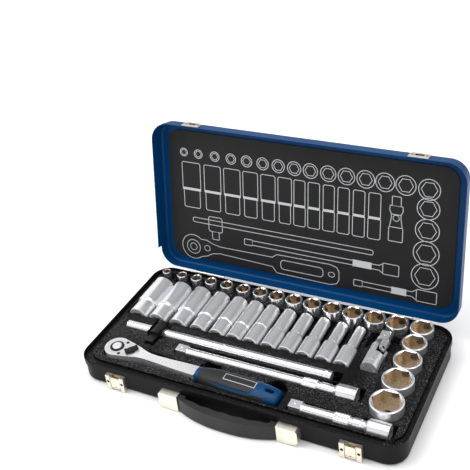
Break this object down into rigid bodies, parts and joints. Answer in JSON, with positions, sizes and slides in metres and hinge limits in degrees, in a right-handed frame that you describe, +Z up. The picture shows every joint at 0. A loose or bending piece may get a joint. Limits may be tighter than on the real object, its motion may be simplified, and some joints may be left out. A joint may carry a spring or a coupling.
{
  "type": "socket wrench set in a hinged case",
  "caption": "Flat hinged steel case with two latches and a bow handle, holding short and deep hexagon sockets, a ratchet, a sliding T bar, extensions and a universal joint in a moulded tray.",
  "frame": {"origin": "bottom centre of the case base, where it rests on the bench", "axes": "+X along the case to the right seen from the handle side, +Y towards the hinge, +Z up"},
  "size_m": [0.447, 0.3004, 0.2546],
  "materials": {
    "case_black": "satin black stove enamel on sheet steel",
    "lid_blue": "glossy blue stove enamel on pressed sheet steel",
    "panel_black": "matt black sheet",
    "tray_black": "fine grained black moulded sheet",
    "zinc": "zinc plated steel",
    "latch_nickel": "warm nickel plating",
    "cap_cream": "cream plated end caps",
    "grip_black": "soft black plastic",
    "chrome_polished": "polished chrome vanadium steel",
    "chrome_satin": "satin chrome plated steel",
    "black_oxide": "blackened steel",
    "grip_blue": "dark grey and blue two part grip"
  },
  "bodies": {
    "base": {"base_shell": "case_black", "tool_tray": "tray_black", "hinge_leaves_base": "zinc", "pivot_pins": "zinc", "latch_plates": "latch_nickel", "handle_caps": "cap_cream", "rivets": "zinc"},
    "lid": {"lid_shell": "lid_blue", "lid_panel": "panel_black", "hinge_leaves_lid": "zinc", "latch_catches": "latch_nickel"},
    "lever_left": {"latch_lever_left": "latch_nickel"},
    "lever_right": {"latch_lever_right": "latch_nickel"},
    "hook_left": {"latch_hook_left": "latch_nickel"},
    "hook_right": {"latch_hook_right": "latch_nickel"},
    "handle": {"handle_grip": "grip_black"},
    "ratchet": {"ratchet_body": "chrome_polished", "ratchet_cover": "chrome_satin", "ratchet_grip": "grip_blue"},
    "drive": {"ratchet_drive": "black_oxide"},
    "button": {"ratchet_button": "chrome_polished"},
    "reverser": {"ratchet_lever": "black_oxide"},
    "tbar": {"tbar_head": "black_oxide"},
    "rod": {"tbar_rod": "chrome_polished"},
    "joint_socket_end": {"joint_socket_yoke": "chrome_polished"},
    "joint_middle": {"joint_cross": "chrome_satin"},
    "joint_drive_end": {"joint_drive_yoke": "chrome_polished"},
    "ext_250": {"extension_250": "chrome_polished"},
    "ext_125": {"extension_125": "chrome_polished"},
    "b_socket_08": {"socket_08": "chrome_polished"},
    "b_socket_10": {"socket_10": "chrome_polished"},
    "b_socket_11": {"socket_11": "chrome_polished"},
    "b_socket_12": {"socket_12": "chrome_polished"},
    "b_socket_13": {"socket_13": "chrome_polished"},
    "b_socket_14": {"socket_14": "chrome_polished"},
    "b_socket_15": {"socket_15": "chrome_polished"},
    "b_socket_16": {"socket_16": "chrome_polished"},
    "b_socket_17": {"socket_17": "chrome_polished"},
    "b_socket_18": {"socket_18": "chrome_polished"},
    "b_socket_19": {"socket_19": "chrome_polished"},
    "b_socket_20": {"socket_20": "chrome_polished"},
    "b_socket_21": {"socket_21": "chrome_polished"},
    "b_socket_22": {"socket_22": "chrome_polished"},
    "b_socket_23": {"socket_23": "chrome_satin"},
    "b_socket_24": {"socket_24": "chrome_satin"},
    "b_socket_27": {"socket_27": "chrome_satin"},
    "b_socket_30": {"socket_30": "chrome_satin"},
    "b_socket_32": {"socket_32": "chrome_satin"},
    "b_deep_socket_24": {"deep_socket_24": "chrome_satin"},
    "b_deep_socket_22": {"deep_socket_22": "chrome_satin"},
    "b_deep_socket_21": {"deep_socket_21": "chrome_satin"},
    "b_deep_socket_19": {"deep_socket_19": "chrome_satin"},
    "b_deep_socket_17": {"deep_socket_17": "chrome_satin"},
    "b_deep_socket_16": {"deep_socket_16": "chrome_satin"},
    "b_deep_socket_15": {"deep_socket_15": "chrome_satin"},
    "b_deep_socket_14": {"deep_socket_14": "chrome_satin"},
    "b_deep_socket_13": {"deep_socket_13": "chrome_satin"},
    "b_deep_socket_12": {"deep_socket_12": "chrome_satin"},
    "b_deep_socket_11": {"deep_socket_11": "chrome_satin"},
    "b_deep_socket_10": {"deep_socket_10": "chrome_satin"}
  },
  "joints": [
    {"name": "lid_hinge", "type": "hinge", "parent": "base", "child": "lid", "pos_m": [0, 0.1125, 0.0315], "axis": [-1, 0, 0], "range_deg": [-100.4, 0]},
    {"name": "latch_lever_left", "type": "hinge", "parent": "base", "child": "lever_left", "pos_m": [-0.161, -0.1136, 0.0194], "axis": [-1, 0, 0], "range_deg": [0, 120]},
    {"name": "latch_lever_right", "type": "hinge", "parent": "base", "child": "lever_right", "pos_m": [0.161, -0.1136, 0.0194], "axis": [-1, 0, 0], "range_deg": [0, 120]},
    {"name": "latch_hook_left", "type": "hinge", "parent": "lever_left", "child": "hook_left", "pos_m": [-0.161, -0.1126, 0.0172], "axis": [1, 0, 0], "range_deg": [0, 120]},
    {"name": "latch_hook_right", "type": "hinge", "parent": "lever_right", "child": "hook_right", "pos_m": [0.161, -0.1126, 0.0172], "axis": [1, 0, 0], "range_deg": [0, 120]},
    {"name": "handle_play", "type": "slide", "parent": "base", "child": "handle", "axis": [0, -1, 0], "range_m": [0, 0.0025]},
    {"name": "ratchet_drive_turn", "type": "hinge", "parent": "ratchet", "child": "drive", "pos_m": [-0.1815, -0.0715, 0.025], "axis": [0, 0, 1], "continuous": true},
    {"name": "reversing_lever_turn", "type": "hinge", "parent": "ratchet", "child": "reverser", "pos_m": [-0.15851, -0.0721, 0.034], "axis": [0, 0, 1], "range_deg": [0, 78]},
    {"name": "quick_release_push", "type": "slide", "parent": "drive", "child": "button", "axis": [0, 0, -1], "range_m": [0, 0.002], "stiffness_N_per_m": 600},
    {"name": "bar_slide", "type": "slide", "parent": "tbar", "child": "rod", "axis": [1, 0, 0], "range_m": [-0.001, 0.012]},
    {"name": "joint_first_swivel", "type": "hinge", "parent": "joint_socket_end", "child": "joint_middle", "pos_m": [0.1412, 0.0425, 0.0288], "axis": [0.7071, 0, -0.7071], "range_deg": [0, 28]},
    {"name": "joint_second_swivel", "type": "hinge", "parent": "joint_middle", "child": "joint_drive_end", "pos_m": [0.1412, 0.0425, 0.0288], "axis": [0.7071, 0, 0.7071], "range_deg": [0, 28]},
    {"name": "lift_ratchet", "type": "slide", "parent": "base", "child": "ratchet", "axis": [0, 0, 1], "range_m": [0, 0.05]},
    {"name": "lift_tbar", "type": "slide", "parent": "base", "child": "tbar", "axis": [0, 0, 1], "range_m": [0, 0.05]},
    {"name": "lift_ext_250", "type": "slide", "parent": "base", "child": "ext_250", "axis": [0, 0, 1], "range_m": [0, 0.05]},
    {"name": "lift_ext_125", "type": "slide", "parent": "base", "child": "ext_125", "axis": [0, 0, 1], "range_m": [0, 0.05]},
    {"name": "lift_joint_socket_end", "type": "slide", "parent": "base", "child": "joint_socket_end", "axis": [0, 0, 1], "range_m": [0, 0.05]},
    {"name": "lift_socket_08", "type": "slide", "parent": "base", "child": "b_socket_08", "axis": [0, 0, 1], "range_m": [0, 0.05]},
    {"name": "lift_socket_10", "type": "slide", "parent": "base", "child": "b_socket_10", "axis": [0, 0, 1], "range_m": [0, 0.05]},
    {"name": "lift_socket_11", "type": "slide", "parent": "base", "child": "b_socket_11", "axis": [0, 0, 1], "range_m": [0, 0.05]},
    {"name": "lift_socket_12", "type": "slide", "parent": "base", "child": "b_socket_12", "axis": [0, 0, 1], "range_m": [0, 0.05]},
    {"name": "lift_socket_13", "type": "slide", "parent": "base", "child": "b_socket_13", "axis": [0, 0, 1], "range_m": [0, 0.05]},
    {"name": "lift_socket_14", "type": "slide", "parent": "base", "child": "b_socket_14", "axis": [0, 0, 1], "range_m": [0, 0.05]},
    {"name": "lift_socket_15", "type": "slide", "parent": "base", "child": "b_socket_15", "axis": [0, 0, 1], "range_m": [0, 0.05]},
    {"name": "lift_socket_16", "type": "slide", "parent": "base", "child": "b_socket_16", "axis": [0, 0, 1], "range_m": [0, 0.05]},
    {"name": "lift_socket_17", "type": "slide", "parent": "base", "child": "b_socket_17", "axis": [0, 0, 1], "range_m": [0, 0.05]},
    {"name": "lift_socket_18", "type": "slide", "parent": "base", "child": "b_socket_18", "axis": [0, 0, 1], "range_m": [0, 0.05]},
    {"name": "lift_socket_19", "type": "slide", "parent": "base", "child": "b_socket_19", "axis": [0, 0, 1], "range_m": [0, 0.05]},
    {"name": "lift_socket_20", "type": "slide", "parent": "base", "child": "b_socket_20", "axis": [0, 0, 1], "range_m": [0, 0.05]},
    {"name": "lift_socket_21", "type": "slide", "parent": "base", "child": "b_socket_21", "axis": [0, 0, 1], "range_m": [0, 0.05]},
    {"name": "lift_socket_22", "type": "slide", "parent": "base", "child": "b_socket_22", "axis": [0, 0, 1], "range_m": [0, 0.05]},
    {"name": "lift_socket_23", "type": "slide", "parent": "base", "child": "b_socket_23", "axis": [0, 0, 1], "range_m": [0, 0.05]},
    {"name": "lift_socket_24", "type": "slide", "parent": "base", "child": "b_socket_24", "axis": [0, 0, 1], "range_m": [0, 0.05]},
    {"name": "lift_socket_27", "type": "slide", "parent": "base", "child": "b_socket_27", "axis": [0, 0, 1], "range_m": [0, 0.05]},
    {"name": "lift_socket_30", "type": "slide", "parent": "base", "child": "b_socket_30", "axis": [0, 0, 1], "range_m": [0, 0.05]},
    {"name": "lift_socket_32", "type": "slide", "parent": "base", "child": "b_socket_32", "axis": [0, 0, 1], "range_m": [0, 0.05]},
    {"name": "lift_deep_socket_24", "type": "slide", "parent": "base", "child": "b_deep_socket_24", "axis": [0, 0, 1], "range_m": [0, 0.05]},
    {"name": "lift_deep_socket_22", "type": "slide", "parent": "base", "child": "b_deep_socket_22", "axis": [0, 0, 1], "range_m": [0, 0.05]},
    {"name": "lift_deep_socket_21", "type": "slide", "parent": "base", "child": "b_deep_socket_21", "axis": [0, 0, 1], "range_m": [0, 0.05]},
    {"name": "lift_deep_socket_19", "type": "slide", "parent": "base", "child": "b_deep_socket_19", "axis": [0, 0, 1], "range_m": [0, 0.05]},
    {"name": "lift_deep_socket_17", "type": "slide", "parent": "base", "child": "b_deep_socket_17", "axis": [0, 0, 1], "range_m": [0, 0.05]},
    {"name": "lift_deep_socket_16", "type": "slide", "parent": "base", "child": "b_deep_socket_16", "axis": [0, 0, 1], "range_m": [0, 0.05]},
    {"name": "lift_deep_socket_15", "type": "slide", "parent": "base", "child": "b_deep_socket_15", "axis": [0, 0, 1], "range_m": [0, 0.05]},
    {"name": "lift_deep_socket_14", "type": "slide", "parent": "base", "child": "b_deep_socket_14", "axis": [0, 0, 1], "range_m": [0, 0.05]},
    {"name": "lift_deep_socket_13", "type": "slide", "parent": "base", "child": "b_deep_socket_13", "axis": [0, 0, 1], "range_m": [0, 0.05]},
    {"name": "lift_deep_socket_12", "type": "slide", "parent": "base", "child": "b_deep_socket_12", "axis": [0, 0, 1], "range_m": [0, 0.05]},
    {"name": "lift_deep_socket_11", "type": "slide", "parent": "base", "child": "b_deep_socket_11", "axis": [0, 0, 1], "range_m": [0, 0.05]},
    {"name": "lift_deep_socket_10", "type": "slide", "parent": "base", "child": "b_deep_socket_10", "axis": [0, 0, 1], "range_m": [0, 0.05]}
  ],
  "couplings": [
    {"joint": "latch_hook_left", "follows": "latch_lever_left", "ratio": 1},
    {"joint": "latch_hook_right", "follows": "latch_lever_right", "ratio": 1}
  ]
}
